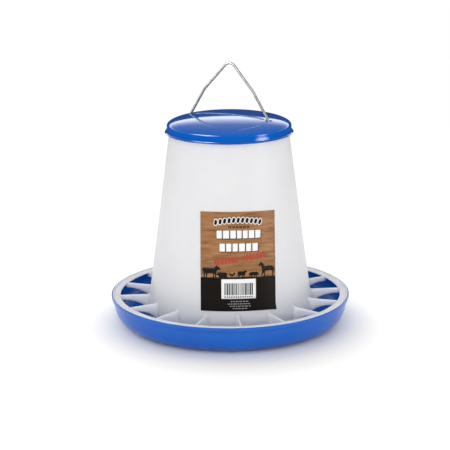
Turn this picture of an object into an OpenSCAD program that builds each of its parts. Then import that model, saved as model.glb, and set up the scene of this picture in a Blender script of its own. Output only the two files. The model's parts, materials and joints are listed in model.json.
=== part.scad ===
// Gravity poultry feeder: a feeding pan, a conical hopper whose base carries a vaned
// feed-saver ring, a domed lid and a wire bail hooked through the lid.
// +Z up, origin at the middle of the pan's underside.

/* [Pan] */
// Outer radius of the pan at its rim
pan_r = 150; // [145:1:155]
// Height of the pan
pan_h = 36; // [34:1:40]
// Radius of the pan's flat base
base_r = 118; // [112:1:122]
// Wall thickness of the pan
pan_wall = 1.8; // [1.5:0.1:2]
// Radius of the feed-spreading cone at the pan's middle
cone_r = 46; // [40:1:52]

/* [Hopper] */
// Outer radius of the hopper at its bottom edge
hopper_bottom_r = 104.2; // [102:0.1:106]
// Outer radius of the hopper where the lid's flange meets it
hopper_top_r = 74.2; // [74:0.1:74.3]
// Wall thickness of the hopper
hopper_wall = 2; // [1.6:0.1:2.2]
// Height of the hopper's bottom edge above the ground
hopper_z = 16; // [14:1:18]

/* [Feed saver] */
// Number of vanes between the hopper and the ring
vane_count = 16; // [16:8:16]
// Thickness of a vane
vane_t = 2.2; // [1.8:0.1:2.6]
// Angle of the first vane from the +X axis
vane_phase = 5.3; // [0:0.1:10]
// Inner radius of the ring
ring_inner_r = 138.6; // [137:0.1:139]

/* [Lid] */
// Height of the underside of the lid's flange above the ground
lid_z = 241.8; // [240:0.1:243]
// Radius of the lid's flange
flange_r = 79.6; // [78:0.1:81]
// Radius of the lid's shoulder, where the dome starts
shoulder_r = 76.9; // [76.5:0.1:77.2]
// Height of the shoulder above the flange's underside
shoulder_h = 8.5; // [8:0.1:9]
// Rise of the dome above the shoulder
dome_h = 13; // [12:0.5:15]
// Wall thickness of the dome
lid_wall = 2; // [1.6:0.1:2.2]

/* [Bail] */
// Diameter of the wire
wire_d = 3.2; // [3:0.1:3.4]
// Height of the apex above the hooks, to the wire's centre line
bail_h = 74.7; // [70:0.1:80]
// Half of the span between the feet, where they pass the dome
foot_s = 53; // [51:0.5:54]
// Angle of the bail's plane about the vertical
bail_angle = -25.7; // [-45:0.1:45]
// Diameter of the holes in the lid
hole_d = 7; // [6.8:0.1:8]

/* [Label] */
// Width of the label across its chord
label_w = 90.7; // [80:0.1:92]
// Height of the label's middle above the ground
label_z = 101; // [98:0.1:108]
// Height of the label along the hopper's wall
label_h = 120.8; // [100:0.1:121]
// Angle of the label's middle from the front
label_angle = 6.8; // [-10:0.1:10]
// Slant of the label in the hopper's wall
label_slant = 1; // [-3:0.1:3]

/* [Hidden] */
$fn = 128;
gap = 0.3;              // clearance between pieces that move past each other
weld = 0.8;             // depth to which the moulded sub-parts run into each other

// Pan
rim_lip = 1.2;          // thickness of the upstanding lip at the rim
rim_band = 4.4;         // height of the rim's outer band
ledge_z = pan_h - 2.6;  // ledge that carries the feed-saver ring
wall_top_z = pan_h - rim_band - 0.2;
wall_r = pan_r - 3;     // outer radius of the bowl under the rim's band
floor_z = 2.8;          // upper side of the pan's floor
foot_in_r = base_r - 12;
foot_h = 1;             // height of the foot ring under the floor
bowl_k = 2.6;           // superellipse exponent of the bowl's wall
cone_tip_r = 11;        // radius at which the cone rounds over
cone_tip_z = pan_h - 3;

// Feed saver
ring_z = ledge_z + gap;                 // underside of the ring
ring_top_z = pan_h - 0.2;
ring_outer_r = pan_r - rim_lip - 0.4;
ring_lip_w = 1.6;
ring_lip_z = pan_h + 0.9;
groove_w = 0.8;
vane_end_r = ring_inner_r + 2.9;
vane_top_z = pan_h - 0.6;
vane_tip_z = pan_h - 7.4;               // lower edge of a vane at its outer end
vane_k = 1.6;                           // exponent of the curve along a vane's lower edge

// Twist lock: lugs under the ring turn beneath tabs on the pan's wall
lock_count = 4;
lock_pitch = 360 / lock_count;
lug_t = 1.8;
lug_z = vane_tip_z - 0.2;
lug_r = 144.4;
lug_span = 8;
tab_r = vane_end_r + 0.7;
tab_span = 10;

// Hopper and lid
rim_top_z = lid_z + 7.2;
rim_bead_h = 2;
seat_z = rim_top_z + gap;
hopper_slope = (hopper_bottom_r - hopper_top_r) / (lid_z - hopper_z);
skirt_in_r = hopper_top_r + gap;
skirt_t = 1.3;
flange_t = 1.1;
plug_out_r = hopper_r(rim_top_z) - hopper_wall - 0.4;
plug_in_r = plug_out_r - 1.4;
plug_z = lid_z + 1.7;
shoulder_z = lid_z + shoulder_h;
rib_w = 2.2;
rib_h = 1;

// Bail
hook_z = lid_z + 10.4;                  // height of the two hooked ends, its pivot line
hole_s = foot_s + 0.9;                  // the wire leans, so its hole lies a little further out
hook_end_s = foot_s + 12.5;
hook_bend_s = foot_s + 4.5;
shoulder_s = 33;                        // half-span at the bends between upper and lower legs
shoulder_rise = 41.1;                   // height of these bends above the hooks
arch_vertex_rise = bail_h + 4.2;        // where the two upper legs' lines would meet
arch_vertex_s = 1.6;                    // the apex was bent slightly off the middle
apex_bend = 8;
shoulder_bend = 24;
hook_bend = 4;
run_in = 0.1;                           // how far a straight length runs into a bend
bend_swell = 0.04;                      // how much thicker the wire is round a bend

// Label
label_t = 0.25;
label_embed = 0.1;

// Outer radius of the hopper's wall at height z
function hopper_r(z) = hopper_bottom_r - hopper_slope * (z - hopper_z);

// Quarter of a superellipse from [r0, z0], where it is level, to [r1, z1], where it is upright
function quarter(r0, z0, r1, z1, k, n = 20) =
    [for (i = [0 : n]) let (t = 90 * i / n)
        [r0 + (r1 - r0) * pow(sin(t), 2 / k), z1 - (z1 - z0) * pow(cos(t), 2 / k)]];

// Upper quarter of an ellipse from its edge [r, z] to its crown above the axis
function crown(r, z, h, start = 0, n = 24) =
    [for (i = [0 : n]) let (t = start + (90 - start) * i / n) [r * cos(t), z + h * sin(t)]];

function reversed(list) = [for (i = [len(list) - 1 : -1 : 0]) list[i]];

function unit(v) = v / norm(v);

// Half of the angle at the corner b between the lines b-a and b-c
function half_angle(a, b, c) = acos(unit(a - b) * unit(c - b)) / 2;

// Where a bend of radius r in the corner b leaves the line b-a
function bend_end(a, b, c, r) = b + unit(a - b) * r / tan(half_angle(a, b, c));

function bend_centre(a, b, c, r) =
    b + unit(unit(a - b) + unit(c - b)) * r / sin(half_angle(a, b, c));

module base_pan() {
    color("royalblue") {
        rotate_extrude() polygon(concat(
            [[0, cone_tip_z]],
            [[cone_tip_r - 2, cone_tip_z - 2.2], [cone_r - 3, foot_h]],
            [[foot_in_r, foot_h], [foot_in_r, 0]],
            quarter(base_r, 0, wall_r, wall_top_z, bowl_k),
            [[pan_r, wall_top_z + 0.4], [pan_r, pan_h], [pan_r - rim_lip, pan_h]],
            [[pan_r - rim_lip, ledge_z], [wall_r - pan_wall, ledge_z]],
            reversed(quarter(base_r - 1.6, floor_z, wall_r - pan_wall, wall_top_z, bowl_k)),
            [[cone_r, floor_z], [cone_tip_r, cone_tip_z - 0.2]],
            [[cone_tip_r * 0.6, cone_tip_z + 1.7], [0, cone_tip_z + 2.2]]));
        for (i = [0 : lock_count - 1])
            rotate([0, 0, vane_phase + lock_pitch * i - tab_span / 2])
                rotate_extrude(angle = tab_span)
                    translate([tab_r, lug_z + lug_t + gap])
                        square([wall_r - 1 - tab_r, lug_t]);
    }
}

module hopper() {
    top_r = hopper_r(rim_top_z);
    color("whitesmoke")
        rotate_extrude() polygon([
            [hopper_r(hopper_z) - hopper_wall, hopper_z],
            [hopper_r(hopper_z), hopper_z],
            [hopper_r(rim_top_z - rim_bead_h - 1), rim_top_z - rim_bead_h - 1],
            [hopper_top_r - 0.1, rim_top_z - rim_bead_h],
            [hopper_top_r - 0.1, rim_top_z - 0.4],
            [hopper_top_r - 0.5, rim_top_z],
            [top_r - hopper_wall, rim_top_z]]);
}

module feed_saver_ring() {
    lip_r = ring_outer_r - ring_lip_w;
    color("white") {
        rotate_extrude() polygon([
            [ring_inner_r, ring_z],
            [ring_outer_r, ring_z],
            [ring_outer_r, ring_lip_z],
            [lip_r, ring_lip_z],
            [lip_r, ring_top_z - 0.8],
            [lip_r - groove_w, ring_top_z - 0.8],
            [lip_r - groove_w, ring_top_z],
            [ring_inner_r, ring_top_z - 0.5]]);
        for (i = [0 : lock_count - 1])
            rotate([0, 0, vane_phase + lock_pitch * i - lug_span / 2])
                rotate_extrude(angle = lug_span) polygon([
                    [ring_inner_r + 1, lug_z],
                    [lug_r, lug_z],
                    [lug_r, lug_z + lug_t],
                    [vane_end_r, lug_z + lug_t],
                    [vane_end_r, ring_z + 0.5],
                    [ring_inner_r + 1, ring_z + 0.5]]);
    }
}

module vane() {
    foot_r = hopper_r(hopper_z) - weld;
    head_r = hopper_r(vane_top_z) - weld;
    knee_r = vane_end_r - 9;
    lower_edge = [for (i = [0 : 14]) let (t = 90 * i / 14)
        [knee_r - (knee_r - foot_r) * pow(sin(t), 2 / vane_k),
         hopper_z + (vane_tip_z - hopper_z) * pow(cos(t), 2 / vane_k)]];
    rotate([90, 0, 0]) linear_extrude(vane_t, center = true)
        polygon(concat(
            [[head_r, vane_top_z], [ring_inner_r + weld, vane_top_z]],
            [[vane_end_r, ring_z + 0.5], [vane_end_r, vane_tip_z]],
            lower_edge));
}

module feed_saver_vanes() {
    color("white")
        for (i = [0 : vane_count - 1])
            rotate([0, 0, vane_phase + 360 / vane_count * i]) vane();
}

module lid_shell() {
    inner_r = shoulder_r - lid_wall;
    inner_z = shoulder_z - lid_wall;
    plug_turn = acos(plug_in_r / inner_r);
    rotate_extrude() polygon(concat(
        [[plug_in_r, plug_z], [plug_out_r, plug_z], [plug_out_r, seat_z]],
        [[skirt_in_r, seat_z], [skirt_in_r, lid_z], [flange_r, lid_z]],
        [[flange_r, lid_z + flange_t], [skirt_in_r + skirt_t + 0.6, lid_z + flange_t]],
        [[skirt_in_r + skirt_t, lid_z + flange_t + 0.7]],
        [[skirt_in_r + skirt_t, lid_z + shoulder_h / 2]],
        [[shoulder_r - 0.3, shoulder_z - 2]],
        crown(shoulder_r, shoulder_z, dome_h),
        reversed(crown(inner_r, inner_z, dome_h, plug_turn))));
}

module lid_rib() {
    reach = hole_s - hole_d / 2 - 2;
    start = acos(reach / shoulder_r);
    intersection() {
        rotate_extrude() polygon(concat(
            crown(shoulder_r, shoulder_z + rib_h, dome_h, start),
            reversed(crown(shoulder_r, shoulder_z - 0.4, dome_h, start))));
        rotate([0, 0, bail_angle])
            translate([0, 0, shoulder_z + dome_h / 2])
                cube([2 * reach, rib_w, 4 * dome_h], center = true);
    }
}

module lid() {
    color("royalblue")
        difference() {
            union() {
                lid_shell();
                lid_rib();
            }
            for (side = [-1, 1])
                rotate([0, 0, bail_angle]) translate([side * hole_s, 0, shoulder_z])
                    cylinder(d = hole_d, h = 2 * dome_h);
        }
}

// Straight length of wire from a to b, both given as [along, up] in the bail's plane.
// It runs a little way into the bends at its ends.
module wire_run(a, b) {
    start = a - unit(b - a) * run_in;
    translate([start[0], 0, start[1]]) rotate([0, atan2(b[0] - a[0], b[1] - a[1]), 0])
        cylinder(d = wire_d, h = norm(b - a) + 2 * run_in);
}

// Bend of the wire in the corner b between the lines b-a and b-c
module wire_bend(a, b, c, r) {
    centre = bend_centre(a, b, c, r);
    from = bend_end(a, b, c, r) - centre;
    to = bend_end(c, b, a, r) - centre;
    first = from[0] * to[1] - from[1] * to[0] > 0 ? from : to;
    translate([centre[0], 0, centre[1]]) rotate([90, 0, 0])
        rotate([0, 0, atan2(first[1], first[0])])
            rotate_extrude(angle = 180 - 2 * half_angle(a, b, c))
                translate([r, 0]) circle(d = wire_d + bend_swell);
}

// Wire along the corners of a path, each with its own bend radius
module wire(path, radii) {
    last = len(path) - 1;
    for (i = [1 : last - 1]) wire_bend(path[i - 1], path[i], path[i + 1], radii[i]);
    for (i = [0 : last - 1])
        wire_run(
            i == 0 ? path[0] : bend_end(path[i + 1], path[i], path[i - 1], radii[i]),
            i == last - 1 ? path[last] : bend_end(path[i], path[i + 1], path[i + 2], radii[i + 1]));
}

module bail_handle() {
    half = [[hook_end_s, 0], [hook_bend_s, 0], [shoulder_s, shoulder_rise]];
    other_half = [for (p = reversed(half)) [-p[0], p[1]]];
    radii = [0, hook_bend, shoulder_bend];
    color("silver")
        translate([0, 0, hook_z]) rotate([0, 0, bail_angle])
            wire(concat(half, [[arch_vertex_s, arch_vertex_rise]], other_half),
                 concat(radii, [apex_bend], reversed(radii)));
}

// A rectangle wrapped on the cone: its edges lie square to the wall at its middle
module label() {
    low_z = label_z - 0.55 * label_h;
    high_z = label_z + 0.55 * label_h;
    color("peru")
        intersection() {
            rotate_extrude() polygon([
                [hopper_r(low_z) - label_embed, low_z],
                [hopper_r(low_z) + label_t, low_z],
                [hopper_r(high_z) + label_t, high_z],
                [hopper_r(high_z) - label_embed, high_z]]);
            rotate([0, 0, label_angle]) translate([0, -hopper_r(label_z), label_z])
                rotate([-atan(hopper_slope), 0, 0]) rotate([0, label_slant, 0])
                    cube([label_w, label_w, label_h], center = true);
        }
}

base_pan();
hopper();
feed_saver_ring();
feed_saver_vanes();
lid();
bail_handle();
label();
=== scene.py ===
import json
import math
import random

import bmesh
import bpy
from mathutils import Matrix, Vector


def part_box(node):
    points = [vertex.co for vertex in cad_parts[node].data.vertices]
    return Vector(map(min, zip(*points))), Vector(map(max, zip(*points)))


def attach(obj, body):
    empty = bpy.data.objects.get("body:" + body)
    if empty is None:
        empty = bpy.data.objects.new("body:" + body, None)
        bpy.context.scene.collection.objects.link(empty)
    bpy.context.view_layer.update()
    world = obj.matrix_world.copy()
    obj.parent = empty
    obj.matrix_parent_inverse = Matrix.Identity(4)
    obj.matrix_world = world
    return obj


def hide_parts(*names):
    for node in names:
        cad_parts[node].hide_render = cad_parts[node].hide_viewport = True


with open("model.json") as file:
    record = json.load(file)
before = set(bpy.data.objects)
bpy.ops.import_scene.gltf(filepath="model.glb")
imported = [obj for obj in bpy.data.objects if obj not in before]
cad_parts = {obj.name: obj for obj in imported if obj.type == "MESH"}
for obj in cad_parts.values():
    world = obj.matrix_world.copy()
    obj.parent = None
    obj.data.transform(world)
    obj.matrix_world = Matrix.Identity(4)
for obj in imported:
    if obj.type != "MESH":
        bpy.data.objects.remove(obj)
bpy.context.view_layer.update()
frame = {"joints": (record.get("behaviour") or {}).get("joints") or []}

MM = 0.001
TURN = 2 * math.pi

# ---------------------------------------------------------------- sizes from the frame
pan_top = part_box("base_pan")[1]
PAN_R = pan_top.x
PAN_H = pan_top.z
hopper_low, hopper_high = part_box("hopper")
HOPPER_R = hopper_high.x                     # outer radius at the bottom edge
HOPPER_Z = hopper_low.z
RIM_Z = hopper_high.z                        # top edge of the hopper, inside the lid
ring_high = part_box("feed_saver_ring")[1]
RING_R = ring_high.x
RING_LIP_Z = ring_high.z
VANE_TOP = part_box("feed_saver_vanes")[1].z
lid_low, lid_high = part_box("lid")
FLANGE_R = lid_high.x
LID_Z = lid_low.z
JOINTS = {j["name"]: j for j in frame["joints"]}
BAIL_AXIS = Vector(JOINTS["bail_rock"]["axis"])
BAIL_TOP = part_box("bail_handle")[1].z

# Pan
BASE_R = 118 * MM
BOWL_R = PAN_R - 3 * MM
PAN_WALL = 1.8 * MM
BOWL_TOP = PAN_H - 4.6 * MM
BOWL_K = 2.6
LIP = 1.2 * MM
LEDGE_Z = PAN_H - 2.6 * MM
FLOOR_Z = 2.8 * MM
FOOT_H = 1 * MM                              # height of the recess inside the foot ring
FOOT_IN = BASE_R - 12 * MM
CONE_R = 46 * MM
CONE_TIP_R = 11 * MM
CONE_TIP_Z = PAN_H - 3 * MM

# Hopper moulding
TOP_R = 74.2 * MM                            # outer radius at the lid's flange
SLOPE = (HOPPER_R - TOP_R) / (LID_Z - HOPPER_Z)
HOPPER_WALL = 2 * MM
RING_IN = 138.6 * MM
RING_Z = LEDGE_Z + 0.3 * MM
RING_TOP = PAN_H - 0.2 * MM
VANES = 16
VANE_PHASE = math.radians(5.3)
VANE_T = 2.2 * MM
VANE_END = RING_IN + 2.9 * MM
VANE_TIP_Z = PAN_H - 7.4 * MM
VANE_K = 1.6
LUG_Z = VANE_TIP_Z - 0.2 * MM
LUG_T = 1.8 * MM
LUG_R = 144.4 * MM
LUGS = 4

# Lid
SHOULDER_R = 76.9 * MM
SHOULDER_Z = LID_Z + 8.5 * MM
DOME_H = 13 * MM
LID_WALL = 2 * MM
SKIRT_IN = TOP_R + 0.3 * MM
FLANGE_T = 1.1 * MM
HOLE_R = 3.5 * MM
FOOT_S = 53 * MM
HOLE_S = FOOT_S + 0.9 * MM

# Bail
WIRE_R = 1.6 * MM
HOOK_END = FOOT_S + 12.5 * MM
HOOK_BEND = FOOT_S + 4.5 * MM
SHOULDER_S = 33 * MM
SHOULDER_RISE = 41.1 * MM
VERTEX_RISE = 78.9 * MM
VERTEX_S = 1.6 * MM

# Label
LABEL_W = 94.6 * MM
LABEL_H = 120.8 * MM
LABEL_MID_Z = 101 * MM
LABEL_TURN = math.radians(6.8)
LABEL_SLANT = math.radians(1)

# Floor, with a painted glow that is least just in front of the object, which paints its shadow there
FLOOR_R = 1.22
FLOOR_GLOW = 0.4                             # emission away from the object
DIM_SPOT = (0.01, -0.055, 0)                 # where the glow is least
GLOW_REACH = (0.11, 0.22)                    # distances from there at which it starts and is full


def wall_r(z):
    """Outer radius of the hopper's wall at height z."""
    return HOPPER_R - SLOPE * (z - HOPPER_Z)


# ---------------------------------------------------------------- outlines
def quarter(r0, z0, r1, z1, k, n=28):
    """Quarter of a superellipse from (r0, z0), level, to (r1, z1), upright."""
    out = []
    for i in range(n + 1):
        t = math.pi / 2 * i / n
        out.append((r0 + (r1 - r0) * math.sin(t) ** (2 / k), z1 - (z1 - z0) * max(math.cos(t), 0) ** (2 / k)))
    return out


def crown(r, z, h, start=0.0, n=36):
    """Upper quarter of an ellipse from its edge (r, z) to its crown on the axis."""
    out = []
    for i in range(n + 1):
        t = start + (math.pi / 2 - start) * i / n
        out.append((r * math.cos(t), z + h * math.sin(t)))
    out[-1] = (0.0, z + h)
    return out


def corner(a, b, c, radius, n=5):
    """Points that round the corner b of the outline a, b, c."""
    a, b, c = Vector(a[:2]), Vector(b[:2]), Vector(c[:2])
    u, v = (a - b), (c - b)
    lu, lv = u.length, v.length
    u, v = u / lu, v / lv
    half = math.acos(max(-1, min(1, u.dot(v)))) / 2
    if half > 1.5 or half < 0.05:
        return [tuple(b)]
    reach = min(radius / math.tan(half), 0.48 * lu, 0.48 * lv)
    radius = reach * math.tan(half)
    m = (u + v).normalized()
    centre = b + m * radius / math.sin(half)
    p, q = b + u * reach - centre, b + v * reach - centre
    angle = p.angle_signed(q)
    out = []
    for i in range(n + 1):
        t = -angle * i / n
        out.append((centre.x + p.x * math.cos(t) - p.y * math.sin(t),
                    centre.y + p.x * math.sin(t) + p.y * math.cos(t)))
    return out


def rounded(points, n=5, closed=True):
    """An outline whose points may have a third value, the radius that rounds them."""
    out = []
    count = len(points)
    for i, p in enumerate(points):
        ends = not closed and i in (0, count - 1)
        if len(p) < 3 or p[2] <= 0 or ends:
            out.append(tuple(p[:2]))
        else:
            out.extend(corner(points[i - 1], p, points[(i + 1) % count], p[2], n))
    return out


# ---------------------------------------------------------------- meshes
def new_object(name, bm, material, smooth=True):
    """Turns a bmesh into a scene object."""
    bmesh.ops.remove_doubles(bm, verts=bm.verts, dist=1e-7)
    bmesh.ops.recalc_face_normals(bm, faces=bm.faces)
    mesh = bpy.data.meshes.new(name)
    bm.to_mesh(mesh)
    bm.free()
    for polygon in mesh.polygons:
        polygon.use_smooth = smooth
    mesh.materials.append(material)
    obj = bpy.data.objects.new(name, mesh)
    bpy.context.scene.collection.objects.link(obj)
    return obj


def lathe(bm, outline, segments=224, start=0.0, sweep=TURN):
    """Turns a closed outline of (r, z) points round the Z axis, all the way or through an angle."""
    full = abs(sweep - TURN) < 1e-6
    steps = segments if full else segments + 1
    rings = []
    for k in range(steps):
        a = start + sweep * k / segments
        ca, sa = math.cos(a), math.sin(a)
        ring = []
        for i, (r, z) in enumerate(outline):
            if r < 1e-9 and rings:
                ring.append(rings[0][i])
            else:
                ring.append(bm.verts.new((r * ca, r * sa, z)))
        rings.append(ring)
    count = len(outline)
    for k in range(segments):
        here, there = rings[k], rings[(k + 1) % steps]
        for i in range(count):
            j = (i + 1) % count
            face = []
            for vert in (here[i], there[i], there[j], here[j]):
                if vert not in face:
                    face.append(vert)
            if len(face) > 2:
                bm.faces.new(face)
    if not full:
        bm.faces.new(rings[0])
        bm.faces.new(rings[-1])


def loft(bm, sections):
    """Joins closed sections of equal point counts into one closed solid."""
    rows = [[bm.verts.new(p) for p in section] for section in sections]
    count = len(rows[0])
    for a, b in zip(rows, rows[1:]):
        for i in range(count):
            j = (i + 1) % count
            bm.faces.new((a[i], a[j], b[j], b[i]))
    bm.faces.new(rows[0])
    bm.faces.new(rows[-1])


def crisp(obj):
    """Keeps flat stretches flat next to narrow rounded edges."""
    modifier = obj.modifiers.new("weighted_normals", "WEIGHTED_NORMAL")
    modifier.keep_sharp = True
    modifier.weight = 50


def place(obj, body, slot, *nodes):
    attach(obj, body)
    if nodes:
        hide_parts(*nodes)
    return obj


# ---------------------------------------------------------------- materials
class Tree:
    """Short names for building the node tree of a material, a light or the world."""

    def __init__(self, owner):
        owner.use_nodes = True
        self.tree = owner.node_tree

    def add(self, kind, **inputs):
        node = self.tree.nodes.new(kind)
        for key, value in inputs.items():
            if key in node.inputs:
                node.inputs[key].default_value = value
            else:
                setattr(node, key, value)
        return node

    def link(self, a, b):
        self.tree.links.new(a, b)

    def coordinates(self, scale=(1, 1, 1)):
        place_in = self.add("ShaderNodeTexCoord")
        mapping = self.add("ShaderNodeMapping")
        mapping.inputs["Scale"].default_value = scale
        self.link(place_in.outputs["Object"], mapping.inputs["Vector"])
        return mapping.outputs["Vector"]

    def noise(self, vector, scale, detail=4.0, roughness=0.5, distortion=0.0):
        node = self.add("ShaderNodeTexNoise", Scale=scale, Detail=detail, Roughness=roughness,
                        Distortion=distortion)
        self.link(vector, node.inputs["Vector"])
        return node.outputs["Fac"]

    def ramp(self, value, stops):
        node = self.add("ShaderNodeValToRGB")
        elements = node.color_ramp.elements
        while len(elements) < len(stops):
            elements.new(0.5)
        for element, (position, colour) in zip(elements, stops):
            element.position = position
            element.color = (*colour, 1) if len(colour) == 3 else colour
        self.link(value, node.inputs["Fac"])
        return node.outputs["Color"]

    def spread(self, value, low, high, start=0.0, end=1.0, curve="LINEAR"):
        node = self.add("ShaderNodeMapRange", interpolation_type=curve)
        node.inputs["From Min"].default_value = start
        node.inputs["From Max"].default_value = end
        node.inputs["To Min"].default_value = low
        node.inputs["To Max"].default_value = high
        self.link(value, node.inputs["Value"])
        return node.outputs["Result"]

    def mix(self, factor, a, b, mode="MIX"):
        node = self.add("ShaderNodeMix")
        node.data_type = "RGBA"
        node.blend_type = mode
        for socket, value in ((node.inputs[0], factor), (node.inputs[6], a), (node.inputs[7], b)):
            if isinstance(value, bpy.types.NodeSocket):
                self.link(value, socket)
            elif isinstance(value, tuple):
                socket.default_value = (*value, 1)
            else:
                socket.default_value = value
        return node.outputs[2]

    def bump(self, height, strength, distance, under=None):
        node = self.add("ShaderNodeBump", Strength=strength, Distance=distance)
        self.link(height, node.inputs["Height"])
        if under is not None:
            self.link(under, node.inputs["Normal"])
        return node.outputs["Normal"]


class Nodes(Tree):
    """The node tree of one new material."""

    def __init__(self, name):
        self.material = bpy.data.materials.new(name)
        super().__init__(self.material)
        self.shader = self.tree.nodes["Principled BSDF"]

    def finish(self, colour=None, roughness=None, normal=None, **fixed):
        for socket, value in (("Base Color", colour), ("Roughness", roughness), ("Normal", normal)):
            if value is not None:
                self.link(value, self.shader.inputs[socket])
        for key, value in fixed.items():
            self.shader.inputs[key].default_value = value
        return self.material


def blue_plastic(name, rough_low, rough_high, specular):
    """Blue polypropylene: faint flow marks, fine scuffs and a slight orange-peel surface."""
    n = Nodes(name)
    at = n.coordinates()
    cloud = n.noise(at, 14, 3, 0.55)
    colour = n.ramp(cloud, [(0.3, (0.0006, 0.092, 0.460)), (0.7, (0.0012, 0.108, 0.505))])
    scuff = n.noise(n.coordinates((1, 1, 6)), 420, 6, 0.7, 0.6)
    rough = n.spread(scuff, rough_low, rough_high, 0.35, 0.75)
    peel = n.bump(n.noise(at, 260, 2), 0.02, 0.0002)
    hairlines = n.bump(n.spread(scuff, 0, 1, 0.62, 0.7), 0.04, 0.00003, peel)
    return n.finish(colour, rough, hairlines, **{"IOR": 1.5, "Specular IOR Level": specular})


def white_plastic():
    """White polypropylene that lets a little light through, with soft mottling and moulding marks."""
    n = Nodes("white_plastic")
    at = n.coordinates()
    mottle = n.noise(at, 22, 4, 0.6)
    colour = n.ramp(mottle, [(0.25, (0.83, 0.835, 0.87)), (0.75, (0.865, 0.87, 0.90))])
    flow = n.noise(n.coordinates((1, 1, 0.08)), 90, 3, 0.6)
    rough = n.spread(flow, 0.32, 0.46, 0.3, 0.7)
    grain = n.bump(n.noise(at, 700, 3), 0.08, 0.00012)
    waves = n.bump(flow, 0.08, 0.0006, grain)
    return n.finish(colour, rough, waves, **{
        "Subsurface Weight": 0.5, "Subsurface Scale": 0.01, "Subsurface Radius": (1.0, 1.0, 1.05),
        "IOR": 1.49, "Specular IOR Level": 0.12})


def galvanised_wire():
    """Drawn steel wire with a zinc coat: spangle, drawing lines and a few darker rubs."""
    n = Nodes("galvanised_wire")
    at = n.coordinates()
    spangle = n.add("ShaderNodeTexVoronoi", Scale=260)
    n.link(at, spangle.inputs["Vector"])
    patch = n.noise(at, 160, 5, 0.65)
    base = n.ramp(patch, [(0.3, (0.38, 0.385, 0.37)), (0.7, (0.50, 0.50, 0.48))])
    colour = n.mix(0.06, base, spangle.outputs["Color"], "SOFT_LIGHT")
    rough = n.spread(patch, 0.36, 0.52, 0.25, 0.75)
    lines = n.bump(n.noise(n.coordinates((1, 1, 0.2)), 500, 2), 0.04, 0.00002)
    return n.finish(colour, rough, lines, **{"Metallic": 0.9})


def label_film():
    """Printed film: a board of brown planks above, a near-black field with a ragged top below."""
    n = Nodes("label_film")
    uv = n.add("ShaderNodeUVMap", uv_map="label_uv")
    across = n.add("ShaderNodeMapping")
    across.inputs["Scale"].default_value = (1.1, 9, 1)
    n.link(uv.outputs["UV"], across.inputs["Vector"])
    grain = n.noise(across.outputs["Vector"], 2.6, 8, 0.62, 0.9)
    planks = n.add("ShaderNodeTexBrick", offset=0.37, squash=1.0)
    planks.inputs["Color1"].default_value = (0.40, 0.40, 0.40, 1)
    planks.inputs["Color2"].default_value = (0.62, 0.62, 0.62, 1)
    planks.inputs["Mortar"].default_value = (0.12, 0.12, 0.12, 1)
    planks.inputs["Scale"].default_value = 1
    planks.inputs["Mortar Size"].default_value = 0.004
    planks.inputs["Brick Width"].default_value = 3.1
    planks.inputs["Row Height"].default_value = 0.135
    n.link(uv.outputs["UV"], planks.inputs["Vector"])
    browns = [(0.28, (0.16, 0.068, 0.026)), (0.5, (0.315, 0.150, 0.065)), (0.75, (0.42, 0.22, 0.11))]
    wood = n.ramp(grain, browns)
    board = n.mix(0.35, wood, planks.outputs["Color"], "OVERLAY")
    parts = n.add("ShaderNodeSeparateXYZ")
    n.link(uv.outputs["UV"], parts.inputs["Vector"])
    ragged = n.noise(uv.outputs["UV"], 30, 6, 0.7)
    edge = n.add("ShaderNodeMath", operation="MULTIPLY_ADD")
    n.link(ragged, edge.inputs[0])
    edge.inputs[1].default_value = 0.035
    n.link(parts.outputs["Y"], edge.inputs[2])
    dark = n.ramp(edge.outputs[0], [(0.352, (1, 1, 1)), (0.36, (0, 0, 0))])
    colour = n.mix(dark, board, (0.0095, 0.0068, 0.0055))
    crinkle = n.bump(n.noise(uv.outputs["UV"], 5, 3), 0.12, 0.0012)
    rough = n.spread(grain, 0.24, 0.36)
    return n.finish(colour, rough, crinkle, **{"Specular IOR Level": 0.08})


def ink(name, low, high, roughness):
    """One printed colour, slightly uneven."""
    n = Nodes(name)
    tone = n.noise(n.coordinates(), 900, 4, 0.7)
    colour = n.ramp(tone, [(0.35, low), (0.65, high)])
    rough = n.spread(tone, roughness - 0.05, roughness + 0.08)
    return n.finish(colour, rough, n.bump(tone, 0.05, 0.00003), **{"Specular IOR Level": 0.08})


def floor_painted_glow():
    """White ground with a painted glow that grows with distance from a point just in front of the object's
    middle, so that the shadow there is painted.
    """
    n = Nodes("floor_painted_glow")
    at = n.coordinates()
    tone = n.noise(at, 3, 2)
    distance = n.add("ShaderNodeVectorMath", operation="DISTANCE")
    distance.inputs[1].default_value = DIM_SPOT
    n.link(at, distance.inputs[0])
    # painted light: the floor glows more away from the object, leaving a painted shadow just in front of it
    glow = n.spread(distance.outputs["Value"], 0.0, FLOOR_GLOW, *GLOW_REACH)
    n.link(glow, n.shader.inputs["Emission Strength"])
    return n.finish(n.ramp(tone, [(0, (0.95, 0.93, 0.90)), (1, (0.97, 0.95, 0.92))]), None, None, **{
        "Roughness": 0.9, "Specular IOR Level": 0.1, "Emission Color": (1, 1, 1, 1)})


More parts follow.
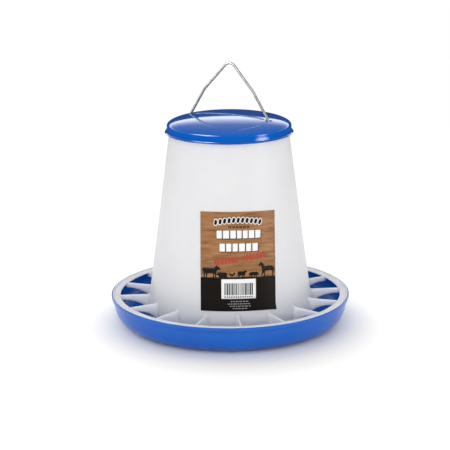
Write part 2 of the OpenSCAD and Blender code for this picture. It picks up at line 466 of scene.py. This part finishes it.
# ---------------------------------------------------------------- pieces
def pan_outline():
    inner_tip = [(0.0, CONE_TIP_Z), (CONE_TIP_R - 2 * MM, CONE_TIP_Z - 2.2 * MM, 4 * MM)]
    under = [(CONE_R - 3 * MM, FOOT_H, 1.2 * MM), (FOOT_IN, FOOT_H, 0.4 * MM), (FOOT_IN, 0.0, 0.3 * MM)]
    outside = quarter(BASE_R, 0.0, BOWL_R, BOWL_TOP, BOWL_K)
    rim = [(PAN_R, BOWL_TOP + 0.4 * MM, 0.5 * MM), (PAN_R, PAN_H, 0.5 * MM), (PAN_R - LIP, PAN_H, 0.5 * MM),
           (PAN_R - LIP, LEDGE_Z, 0.3 * MM), (BOWL_R - PAN_WALL, LEDGE_Z, 0.6 * MM)]
    inside = quarter(BASE_R - 1.6 * MM, FLOOR_Z, BOWL_R - PAN_WALL, BOWL_TOP, BOWL_K)[::-1]
    cone = [(CONE_R, FLOOR_Z, 5 * MM), (CONE_TIP_R, CONE_TIP_Z - 0.2 * MM, 8 * MM),
            (CONE_TIP_R * 0.6, CONE_TIP_Z + 1.7 * MM, 3 * MM), (0.0, CONE_TIP_Z + 2.2 * MM)]
    return rounded(inner_tip + under + outside + rim + inside + cone, closed=False)


def build_pan(material):
    bm = bmesh.new()
    lathe(bm, pan_outline())
    tab_in = VANE_END + 0.7 * MM
    tab_z = LUG_Z + LUG_T + 0.3 * MM
    tab = rounded([(tab_in, tab_z, 0.4 * MM), (BOWL_R - 1 * MM, tab_z), (BOWL_R - 1 * MM, tab_z + LUG_T),
                   (tab_in, tab_z + LUG_T, 0.4 * MM)])
    span = math.radians(10)
    for i in range(LUGS):
        lathe(bm, tab, 10, VANE_PHASE + TURN / LUGS * i - span / 2, span)
    pan = new_object("pan_bowl", bm, material)
    crisp(pan)
    return place(pan, "pan", "blue_plastic", "base_pan")


def build_hopper(material):
    bead = 2 * MM
    bead_r = TOP_R - 0.1 * MM
    bm = bmesh.new()
    steps = 24
    plain = RIM_Z - HOPPER_Z - 4 * MM
    side = [(wall_r(z), z) for z in [HOPPER_Z + plain * i / steps for i in range(1, steps)]]
    inner = [(r - HOPPER_WALL, z) for r, z in side[::-1]]
    lathe(bm, rounded(
        [(wall_r(HOPPER_Z) - HOPPER_WALL, HOPPER_Z, 0.8 * MM),
         (wall_r(HOPPER_Z), HOPPER_Z, 0.8 * MM)] + side +
        [(wall_r(RIM_Z - bead - MM), RIM_Z - bead - MM), (bead_r, RIM_Z - bead, 0.5 * MM),
         (bead_r, RIM_Z, 0.9 * MM), (wall_r(RIM_Z) - HOPPER_WALL, RIM_Z, 0.8 * MM)] + inner))
    hopper = new_object("hopper_cone", bm, material)
    crisp(hopper)
    return place(hopper, "hopper", "white_plastic", "hopper")


def build_ring(material):
    lip = RING_R - 1.6 * MM
    groove = lip - 0.8 * MM
    bm = bmesh.new()
    lathe(bm, rounded([
        (RING_IN, RING_Z, 0.6 * MM), (RING_R, RING_Z, 0.5 * MM), (RING_R, RING_LIP_Z, 0.7 * MM),
        (lip, RING_LIP_Z, 0.7 * MM), (lip, RING_TOP - 0.8 * MM, 0.3 * MM),
        (groove, RING_TOP - 0.8 * MM, 0.3 * MM), (groove, RING_TOP, 0.5 * MM),
        (RING_IN, RING_TOP - 0.5 * MM, 0.8 * MM)]))
    web_in = RING_IN + 1 * MM
    lug = rounded([(web_in, LUG_Z, 0.4 * MM), (LUG_R, LUG_Z, 0.5 * MM), (LUG_R, LUG_Z + LUG_T, 0.5 * MM),
                   (VANE_END, LUG_Z + LUG_T, 0.2 * MM), (VANE_END, RING_Z + 0.5 * MM),
                   (web_in, RING_Z + 0.5 * MM)])
    span = math.radians(8)
    for i in range(LUGS):
        lathe(bm, lug, 8, VANE_PHASE + TURN / LUGS * i - span / 2, span)
    ring = new_object("feed_saver_rim", bm, material)
    crisp(ring)
    return place(ring, "hopper", "white_plastic", "feed_saver_ring")


def cove(d, radius):
    """How much a surface swells at distance d from a wall that it meets in a cove."""
    if d >= radius:
        return 0.0
    d = max(d, 0.0)
    return radius - math.sqrt(radius ** 2 - (radius - d) ** 2)


def vane_lower(r):
    """Height of a vane's arched lower edge at radius r."""
    knee = VANE_END - 9 * MM
    foot = wall_r(HOPPER_Z) - 0.8 * MM
    if r >= knee:
        return VANE_TIP_Z
    share = min((knee - r) / (knee - foot), 1.0)
    return HOPPER_Z + (VANE_TIP_Z - HOPPER_Z) * (1 - share ** VANE_K) ** (1 / VANE_K)


def vane_section(r, wall_cove, edge=0.7 * MM):
    """Rounded cross-section of a vane at radius r: (across, height) points."""
    top = VANE_TOP + cove(r - wall_r(VANE_TOP), wall_cove)
    low = vane_lower(r)
    steps = 8
    out = []
    for side in (1, -1):
        heights = [low + (top - low) * k / steps for k in range(steps + 1)]
        heights = heights if side == 1 else heights[::-1]
        for z in heights:
            depth = min(z - low, top - z)
            pinch = edge - math.sqrt(max(edge ** 2 - (edge - min(depth, edge)) ** 2, 0))
            half = VANE_T / 2 + cove(r - wall_r(z), wall_cove)
            out.append((side * (half - pinch), z))
    return out


def build_vanes(material):
    wall_cove = 3.2 * MM
    inner = wall_r(VANE_TOP) - 0.5 * MM
    stations = [inner + wall_cove * 1.2 * i / 8 for i in range(8)]
    rest = inner + wall_cove * 1.2
    stations += [rest + (VANE_END - rest) * i / 20 for i in range(21)]
    bm = bmesh.new()
    for k in range(VANES):
        a = VANE_PHASE + TURN / VANES * k
        out, across = Vector((math.cos(a), math.sin(a), 0)), Vector((-math.sin(a), math.cos(a), 0))
        sections = []
        for r in stations:
            section = []
            for w, z in vane_section(r, wall_cove):
                # near the hopper the sections lean with its wall
                lean = (wall_r(z) - wall_r(VANE_TOP)) * max(0.0, 1 - (r - inner) / (VANE_END - inner))
                section.append(out * (r + lean) + across * w + Vector((0, 0, z)))
            sections.append(section)
        loft(bm, sections)
    vanes = new_object("feed_saver_fins", bm, material)
    crisp(vanes)
    return place(vanes, "hopper", "white_plastic", "feed_saver_vanes")


def lid_outline():
    inner_r, inner_z = SHOULDER_R - LID_WALL, SHOULDER_Z - LID_WALL
    plug_out = wall_r(LID_Z + 7.2 * MM) - HOPPER_WALL - 0.4 * MM
    plug_in = plug_out - 1.4 * MM
    seat = LID_Z + 7.5 * MM
    start = math.acos(plug_in / inner_r)
    outer = crown(SHOULDER_R, SHOULDER_Z, DOME_H)
    plug_z = LID_Z + 1.7 * MM
    points = [(plug_in, plug_z, 0.5 * MM), (plug_out, plug_z, 0.5 * MM), (plug_out, seat, 0.3 * MM),
              (SKIRT_IN, seat, 0.3 * MM), (SKIRT_IN, LID_Z, 0.3 * MM), (FLANGE_R, LID_Z, 0.3 * MM),
              (FLANGE_R, LID_Z + 0.6 * MM, 0.3 * MM), (SHOULDER_R + 1.0 * MM, LID_Z + FLANGE_T, 1.2 * MM),
              (SHOULDER_R + 0.6 * MM, LID_Z + 1.9 * MM, 1.5 * MM), (SHOULDER_R, SHOULDER_Z - 3 * MM, 4 * MM)]
    return rounded(points + outer + crown(inner_r, inner_z, DOME_H, start)[::-1], closed=False)


def rib_section(s):
    """Points across the lid's low rib at distance s along the bail's plane."""
    top = SHOULDER_Z + DOME_H * math.sqrt(max(0, 1 - (s / SHOULDER_R) ** 2))
    half, rise = 1.5 * MM, 0.9 * MM
    fade = min(1.0, (HOLE_S - HOLE_R - 2 * MM - abs(s)) / (4 * MM))
    arc = [(half * math.cos(t), rise * fade * math.sin(t)) for t in [math.pi * i / 12 for i in range(13)]]
    return [(w, top + h) for w, h in arc] + [(-half, top - 0.5 * MM), (half, top - 0.5 * MM)]


def apply_modifiers(obj):
    """Makes the evaluated mesh the object's own."""
    graph = bpy.context.evaluated_depsgraph_get()
    mesh = bpy.data.meshes.new_from_object(obj.evaluated_get(graph))
    obj.modifiers.clear()
    obj.data = mesh


def build_lid(material):
    bm = bmesh.new()
    lathe(bm, lid_outline(), 256)
    lid = new_object("lid_dome", bm, material)
    cutter_mesh = bmesh.new()
    for side in (-1, 1):
        spot = BAIL_AXIS * HOLE_S * side + Vector((0, 0, SHOULDER_Z + DOME_H))
        bmesh.ops.create_cone(cutter_mesh, cap_ends=True, segments=40, radius1=HOLE_R, radius2=HOLE_R,
                              depth=2 * DOME_H, matrix=Matrix.Translation(spot))
    cutter = new_object("lid_cutter", cutter_mesh, material)
    cut = lid.modifiers.new("holes", "BOOLEAN")
    cut.operation, cut.solver, cut.object = "DIFFERENCE", "EXACT", cutter
    apply_modifiers(lid)
    bpy.data.objects.remove(cutter)
    for polygon in lid.data.polygons:
        polygon.use_smooth = True
    crisp(lid)
    place(lid, "lid", "blue_plastic", "lid")
    across = Vector((-BAIL_AXIS.y, BAIL_AXIS.x, 0))
    reach = HOLE_S - HOLE_R - 2 * MM
    rib_mesh = bmesh.new()
    loft(rib_mesh, [[BAIL_AXIS * s + across * w + Vector((0, 0, z)) for w, z in rib_section(s)]
                    for s in [reach * (i / 32 - 1) for i in range(65)]])
    rib = new_object("lid_rib", rib_mesh, material)
    place(rib, "lid", "blue_plastic")
    return lid


def bail_path():
    """Centre line of the wire, from one hooked end over the apex to the other, as (along, up)."""
    half = [(HOOK_END, 0.0), (HOOK_BEND, 0.0, 4 * MM), (SHOULDER_S, SHOULDER_RISE, 24 * MM)]
    points = half + [(VERTEX_S, VERTEX_RISE, 8 * MM)] + [(-p[0],) + tuple(p[1:]) for p in half[::-1]]
    return rounded(points, n=14, closed=False)


def build_bail(material):
    path = [Vector((x, z)) for x, z in bail_path()]
    across = Vector((-BAIL_AXIS.y, BAIL_AXIS.x, 0))
    up = Vector((0, 0, 1))
    lift = BAIL_TOP - WIRE_R - max(p.y for p in path)
    sides = 24
    sections = []
    for i, p in enumerate(path):
        d = (path[min(i + 1, len(path) - 1)] - path[max(i - 1, 0)]).normalized()
        normal = BAIL_AXIS * -d.y + up * d.x
        centre = BAIL_AXIS * p.x + up * (lift + p.y)
        rim = [normal * math.cos(t) + across * math.sin(t) for t in [TURN * k / sides for k in range(sides)]]
        if i in (0, len(path) - 1):
            # the cut ends are slightly rounded over
            inward = (BAIL_AXIS * d.x + up * d.y) * (0.35 * MM if i == 0 else -0.35 * MM)
            end = [[centre + v * WIRE_R * 0.8 for v in rim], [centre + inward + v * WIRE_R for v in rim]]
            sections += end if i == 0 else end[::-1]
        else:
            sections.append([centre + v * WIRE_R for v in rim])
    bm = bmesh.new()
    loft(bm, sections)
    bail = new_object("bail_wire", bm, material)
    return place(bail, "bail", "galvanised_wire", "bail_handle")


# ---------------------------------------------------------------- label
def label_point(u, v, lift):
    """The point u across and v up the label, lift above the hopper's wall. The label is a flat
    rectangle wrapped on the cone, so it is laid out on the cone's flat pattern."""
    lift += corner_curl(u, v) + crease(u, v)
    up = v - LABEL_H / 2
    x = u * math.cos(LABEL_SLANT) + up * math.sin(LABEL_SLANT)
    y = up * math.cos(LABEL_SLANT) - u * math.sin(LABEL_SLANT)
    tip = math.atan(SLOPE)
    mid = wall_r(LABEL_MID_Z) / math.sin(tip)
    slant = math.hypot(x, mid - y)
    turn = math.atan2(x, mid - y) / math.sin(tip)
    r = slant * math.sin(tip) + lift * math.cos(tip)
    z = LABEL_MID_Z + (mid - slant) * math.cos(tip) + lift * math.sin(tip)
    a = LABEL_TURN + turn
    return Vector((r * math.sin(a), -r * math.cos(a), z))


def corner_curl(u, v):
    """How far the film's lower right corner stands off the hopper."""
    reach = 10 * MM
    d = (LABEL_W / 2 - u) + v
    return 2.4 * MM * (1 - d / reach) ** 2 if d < reach else 0.0


def crease(u, v):
    """A short raised wrinkle that runs in from the right edge."""
    start = LABEL_W * 0.36
    if u < start:
        return 0.0
    along = (u - start) / (LABEL_W / 2 - start)
    off = v - LABEL_H * (0.485 + 0.035 * along)
    return 0.7 * MM * along * math.exp(-(off / (0.9 * MM)) ** 2)


def build_film(material):
    bm = bmesh.new()
    layer = bm.loops.layers.uv.new("label_uv")
    columns, rows = 120, 220
    grid = [[bm.verts.new(label_point(LABEL_W * (i / columns - 0.5), LABEL_H * j / rows, 0.12 * MM))
             for i in range(columns + 1)] for j in range(rows + 1)]
    for j in range(rows):
        for i in range(columns):
            face = bm.faces.new((grid[j][i], grid[j][i + 1], grid[j + 1][i + 1], grid[j + 1][i]))
            for loop, (a, b) in zip(face.loops, ((i, j), (i + 1, j), (i + 1, j + 1), (i, j + 1))):
                loop[layer].uv = (a / columns, b / rows)
    film = new_object("label_film", bm, material)
    thick = film.modifiers.new("thickness", "SOLIDIFY")
    thick.thickness, thick.offset = 0.1 * MM, 1.0
    return place(film, "hopper", "printed_label", "label")


def block(u, v, w, h, radius=0.8 * MM, slant=0.0, turn=0.0):
    """Outline of a rounded bar centred at (u, v), slanted and turned."""
    corners = ((-1, -1), (1, -1), (1, 1), (-1, 1))
    points = rounded([(x * w / 2, y * h / 2, radius) for x, y in corners], 3)
    c, s = math.cos(turn), math.sin(turn)
    return [(u + (x + slant * y) * c - y * s, v + (x + slant * y) * s + y * c) for x, y in points]


HEN = ((-0.06, 0.0), (0.10, 0.0), (0.03, 0.05), (0.04, 0.24), (0.26, 0.34), (0.40, 0.52), (0.44, 0.72),
       (0.50, 0.80), (0.62, 0.80), (0.53, 0.87), (0.52, 0.96), (0.44, 1.0), (0.40, 1.04), (0.36, 0.99),
       (0.30, 1.0), (0.29, 0.92), (0.22, 0.76), (0.08, 0.62), (-0.12, 0.60), (-0.30, 0.72), (-0.46, 0.94),
       (-0.56, 0.86), (-0.60, 0.66), (-0.48, 0.46), (-0.30, 0.30), (-0.04, 0.24), (-0.03, 0.05))
COW = ((-0.52, 0.0), (-0.44, 0.0), (-0.43, 0.26), (-0.37, 0.30), (-0.35, 0.0), (-0.27, 0.0),
       (-0.27, 0.34), (0.16, 0.32), (0.20, 0.0), (0.28, 0.0), (0.29, 0.30), (0.36, 0.32), (0.38, 0.0),
       (0.46, 0.0), (0.50, 0.44), (0.53, 0.60), (0.56, 0.26), (0.60, 0.28), (0.58, 0.68), (0.50, 0.78),
       (-0.30, 0.76), (-0.46, 0.84), (-0.56, 0.98), (-0.60, 1.00), (-0.60, 0.90), (-0.70, 0.88),
       (-0.86, 0.66), (-0.82, 0.58), (-0.68, 0.62), (-0.56, 0.48))
PIG = ((-0.46, 0.0), (-0.36, 0.0), (-0.34, 0.18), (-0.24, 0.20), (-0.22, 0.0), (-0.12, 0.0),
       (-0.10, 0.20), (0.20, 0.20), (0.22, 0.0), (0.32, 0.0), (0.34, 0.20), (0.42, 0.22), (0.44, 0.0),
       (0.52, 0.0), (0.56, 0.40), (0.66, 0.48), (0.62, 0.54), (0.54, 0.52), (0.34, 0.64), (-0.26, 0.64),
       (-0.40, 0.66), (-0.46, 0.74), (-0.50, 0.62), (-0.74, 0.42), (-0.74, 0.30), (-0.58, 0.28),
       (-0.48, 0.22))
SHEEP = ((-0.32, 0.0), (-0.25, 0.0), (-0.24, 0.28), (-0.14, 0.28), (-0.12, 0.0), (-0.05, 0.0),
         (-0.04, 0.26), (0.20, 0.26), (0.22, 0.0), (0.29, 0.0), (0.31, 0.28), (0.37, 0.30), (0.39, 0.0),
         (0.46, 0.0), (0.50, 0.40), (0.58, 0.56), (0.50, 0.72), (0.34, 0.80), (0.14, 0.78), (-0.08, 0.80),
         (-0.28, 0.76), (-0.38, 0.88), (-0.52, 0.90), (-0.70, 0.74), (-0.68, 0.66), (-0.54, 0.64),
         (-0.46, 0.44))
HORSE = ((-0.52, 0.0), (-0.44, 0.0), (-0.45, 0.22), (-0.40, 0.40), (-0.28, 0.44), (0.14, 0.42),
         (0.18, 0.26), (0.16, 0.0), (0.24, 0.0), (0.27, 0.28), (0.34, 0.22), (0.40, 0.08), (0.46, 0.11),
         (0.40, 0.36), (0.42, 0.60), (0.50, 0.84), (0.60, 0.78), (0.68, 0.78), (0.68, 0.86), (0.54, 1.02),
         (0.50, 1.12), (0.45, 1.04), (0.32, 0.96), (0.18, 0.74), (-0.34, 0.76), (-0.48, 0.72),
         (-0.60, 0.60), (-0.66, 0.24), (-0.59, 0.30), (-0.54, 0.52), (-0.56, 0.24))


def animal(shape, u, v, size, face=1):
    """A plain standing animal, its feet at (u, v), facing right or, with face -1, left."""
    return [(u + face * x * size, v + y * size) for x, y in shape]


def grass(u, v, w, h):
    return [(u - w / 2, v), (u + w / 2, v), (u + w * 0.15, v + h)]


def print_layer(name, outlines, material, lift):
    """Flat printed shapes, laid on the film layer by layer so that nothing shares a surface."""
    bm = bmesh.new()
    for outline in outlines:
        bm.faces.new([bm.verts.new((u, v, 0)) for u, v in outline])
    bmesh.ops.triangulate(bm, faces=bm.faces)
    step = 3 * MM
    for axis, extent in ((0, LABEL_W / 2), (1, LABEL_H)):
        lo = -extent if axis == 0 else 0.0
        for i in range(1, int((extent - lo) / step) + 1):
            point, normal = [0, 0, 0], [0, 0, 0]
            point[axis], normal[axis] = lo + i * step, 1
            everything = bm.verts[:] + bm.edges[:] + bm.faces[:]
            bmesh.ops.bisect_plane(bm, geom=everything, plane_co=point, plane_no=normal)
    for vert in bm.verts:
        vert.co = label_point(vert.co.x, vert.co.y, lift)
    obj = new_object(name, bm, material)
    thick = obj.modifiers.new("thickness", "SOLIDIFY")
    thick.thickness, thick.offset = 0.03 * MM, 1.0
    return place(obj, "hopper", "printed_label")


def build_label():
    """The film and its print: blocks, seeds and bars where words would be, over a row of farm animals."""
    dice = random.Random(7)
    build_film(label_film())
    black = ink("ink_black", (0.010, 0.009, 0.008), (0.016, 0.014, 0.012), 0.32)
    white = ink("ink_white", (0.80, 0.80, 0.80), (0.88, 0.88, 0.88), 0.35)
    red = ink("ink_red", (0.36, 0.05, 0.032), (0.52, 0.085, 0.05), 0.4)
    grey = ink("ink_grey", (0.22, 0.21, 0.20), (0.32, 0.31, 0.30), 0.4)
    brown = ink("ink_brown", (0.07, 0.04, 0.02), (0.12, 0.07, 0.035), 0.4)
    shadows, blocks = [], []
    for row_v, widths, gap in ((93.4, (6.2, 7.6, 6.8, 5.6, 6.0, 7.0, 6.8), 1.3),
                               (77.6, (6.4, 6.2, 6.2, 7.2, 6.2, 7.0), 1.5)):
        u = -(sum(widths) + gap * (len(widths) - 1)) / 2
        for w in widths:
            middle = u + w / 2
            shadow_at = ((middle + 0.7) * MM, (row_v - 0.6) * MM)
            shadows.append(block(*shadow_at, (w + 0.5) * MM, 10.3 * MM, 0.9 * MM))
            blocks.append(block(middle * MM, row_v * MM, w * MM, 9.6 * MM, 0.7 * MM))
            u += w + gap
    seeds, rims = [], []
    for i in range(11):
        t = (i - 5) / 5
        at = (-1 * MM + 27 * MM * t, (110.6 - 2.6 * t * t) * MM)
        rims.append(block(*at, 5.0 * MM, 8.4 * MM, 2.4 * MM, 0.0, -0.25 - 0.1 * t))
        seeds.append(block(*at, 3.4 * MM, 6.4 * MM, 1.6 * MM, 0.0, -0.25 - 0.1 * t))
    under = [block(4.4 * MM * (i - 2.5), 102.3 * MM, 3.6 * MM, 2.6 * MM, 0.6 * MM) for i in range(6)]
    stamp = [block(-28.6 * MM + 4.2 * MM * i, 59.4 * MM + 0.62 * MM * i, 3.3 * MM,
                   (7.4 if i % 4 else 5.6) * MM, 0.4 * MM, 0.12, 0.14) for i in range(15) if i != 7]
    ground = 41.2 * MM
    flock = [animal(COW, -36 * MM, ground, 15.5 * MM, -1), animal(PIG, -20 * MM, ground, 10 * MM),
             animal(HEN, -8.4 * MM, ground, 6.4 * MM), animal(SHEEP, 3 * MM, ground, 9.4 * MM, -1),
             animal(PIG, 17.6 * MM, ground, 9.6 * MM, -1), animal(HORSE, 35.4 * MM, ground, 16.6 * MM, -1)]
    tufts = [grass(LABEL_W * (k / 110 - 0.5) * 0.985, 40.6 * MM, 1.1 * MM, dice.uniform(0.8, 2.6) * MM)
             for k in range(1, 110)]
    panel = [block(-0.5 * MM, 27.2 * MM, 42 * MM, 24 * MM, 0.4 * MM)]
    bars, u = [], -17.8 * MM
    while u < 15.6 * MM:
        w = dice.choice((0.6, 0.6, 1.0, 1.5)) * MM
        bars.append(block(u + w / 2, 27 * MM, w, 14.5 * MM, 0.05 * MM))
        u += w + dice.choice((0.5, 0.7, 1.0)) * MM
    ticks = [block(-17 * MM + 2.7 * MM * k, 17.6 * MM, 1.6 * MM, 1.5 * MM, 0.3 * MM) for k in range(13)]
    lines = []
    for v, w in ((12.0, 21), (9.0, 28), (6.2, 23), (3.3, 16)):
        u = -w / 2
        while u < w / 2:
            word = dice.uniform(1.6, 4.0)
            lines.append(block((u + word / 2) * MM, v * MM, word * MM, 1.3 * MM, 0.4 * MM))
            u += word + 0.9
    print_layer("label_shadow_print", shadows, black, 0.235 * MM)
    print_layer("label_flock_print", flock + tufts, black, 0.275 * MM)
    print_layer("label_white_print", blocks + rims + panel, white, 0.285 * MM)
    print_layer("label_red_print", stamp, red, 0.25 * MM)
    print_layer("label_grey_print", lines, grey, 0.25 * MM)
    print_layer("label_brown_print", under, brown, 0.25 * MM)
    print_layer("label_bar_print", bars + ticks + seeds, black, 0.33 * MM)


# ---------------------------------------------------------------- stage
# What gloss sees of the studio: (degrees above the horizon, brightness)
BACKDROP = ((-90, 0.1), (-50, 0.3), (-34, 0.8), (-15, 0.8), (-11, 0.06), (13.3, 0.05), (14.3, 2.9), (17, 2.7),
            (21, 1.5), (27, 0.6), (45, 0.5), (90, 0.8))
# Lights: name, azimuth in degrees, height, distance, size, power, whether it is for matt surfaces
SOFTBOXES = (("softbox_right", 60, 0.28, 0.9, (0.5, 0.55), 9, False),
             ("softbox_left", -50, 0.95, 1.0, (1.3, 0.55), 75, False),
             ("key", -32, 1.35, 1.7, (1.7, 1.0), 3, True),
             ("fill", 4, 0.4, 1.8, (1.8, 0.5), 7, True))


def feather(light):
    """Fades a light's face towards its edges, as a diffuser does."""
    n = Tree(light)
    face = n.add("ShaderNodeNewGeometry")
    middle = n.add("ShaderNodeVectorMath", operation="DISTANCE")
    middle.inputs[1].default_value = (0.5, 0.5, 0)
    n.link(face.outputs["Parametric"], middle.inputs[0])
    fade = n.spread(middle.outputs["Value"], 1.0, 0.0, 0.1, 0.55, "SMOOTHSTEP")
    n.link(fade, n.tree.nodes["Emission"].inputs["Strength"])


def softbox(name, azimuth, height, distance, size, power, soft):
    """A rectangular light, its azimuth measured from the front towards +X. A soft one lights matt
    surfaces only, and any other is seen in gloss only."""
    light = bpy.data.lights.new(name, "AREA")
    light.shape = "RECTANGLE"
    light.size, light.size_y = size
    light.energy = power
    obj = bpy.data.objects.new(name, light)
    a = math.radians(azimuth)
    obj.location = (distance * math.sin(a), -distance * math.cos(a), height)
    aim = Vector((0, 0, 0.2)) - obj.location
    obj.rotation_euler = aim.to_track_quat("-Z", "Y").to_euler()
    obj.visible_camera = False
    obj.visible_diffuse = soft
    obj.visible_glossy = not soft
    if not soft:
        feather(light)
    bpy.context.scene.collection.objects.link(obj)
    return obj


def build_world():
    """White for the camera and light grey for soft light. Gloss sees a studio instead: dark up to just
    above the horizon, then a bright backdrop that dims towards the ceiling."""
    world = bpy.data.worlds.new("studio")
    bpy.context.scene.world = world
    n = Tree(world)
    direction = n.add("ShaderNodeTexCoord")
    parts = n.add("ShaderNodeSeparateXYZ")
    n.link(direction.outputs["Generated"], parts.inputs["Vector"])
    height = n.add("ShaderNodeMath", operation="MULTIPLY_ADD")
    height.inputs[1].default_value = 0.5
    height.inputs[2].default_value = 0.5
    n.link(parts.outputs["Z"], height.inputs[0])
    studio = n.ramp(height.outputs[0], [(0.5 + 0.5 * math.sin(math.radians(degrees)), (level, level, level))
                                        for degrees, level in BACKDROP])
    dimmed = n.add("ShaderNodeVectorMath", operation="SCALE")
    n.link(studio, dimmed.inputs[0])
    n.link(n.spread(parts.outputs["Y"], 0.3, 1.0, -0.9, 0.9), dimmed.inputs["Scale"])
    ray = n.add("ShaderNodeLightPath")
    seen = n.mix(ray.outputs["Is Camera Ray"], (0.8, 0.8, 0.8), (1.0, 1.0, 1.0))
    colour = n.mix(ray.outputs["Is Glossy Ray"], seen, dimmed.outputs[0])
    background = n.tree.nodes["Background"]
    n.link(colour, background.inputs["Color"])
    background.inputs["Strength"].default_value = 1.0


def build_stage():
    bm = bmesh.new()
    bmesh.ops.create_circle(bm, cap_ends=True, segments=128, radius=FLOOR_R)
    floor = new_object("floor", bm, floor_painted_glow(), smooth=False)
    for box in SOFTBOXES:
        softbox(*box)
    build_world()


def build_camera():
    """Looks at the feeder's front from a little above."""
    distance = 1.93
    height = PAN_H + 0.598
    pitch = math.radians(14.85)
    yaw = math.radians(0.176)
    roll = math.radians(-0.41)
    camera = bpy.data.cameras.new("camera")
    camera.lens = 127.4
    camera.sensor_width = 36
    obj = bpy.data.objects.new("camera", camera)
    obj.location = (0, -distance, height)
    tilt = Matrix.Rotation(math.pi / 2 - pitch, 4, "X") @ Matrix.Rotation(roll, 4, "Z")
    obj.rotation_euler = (Matrix.Rotation(yaw, 4, "Z") @ tilt).to_euler()
    bpy.context.scene.collection.objects.link(obj)
    bpy.context.scene.camera = obj


build_camera()
WHITE = white_plastic()
build_pan(blue_plastic("blue_pan_plastic", 0.14, 0.28, 0.35))
build_hopper(WHITE)
build_ring(WHITE)
build_vanes(WHITE)
build_lid(blue_plastic("blue_lid_plastic", 0.03, 0.1, 0.5))
build_bail(galvanised_wire())
build_label()
build_stage()
bpy.context.scene.view_settings.view_transform = "Standard"
bpy.context.scene.view_settings.look = "None"
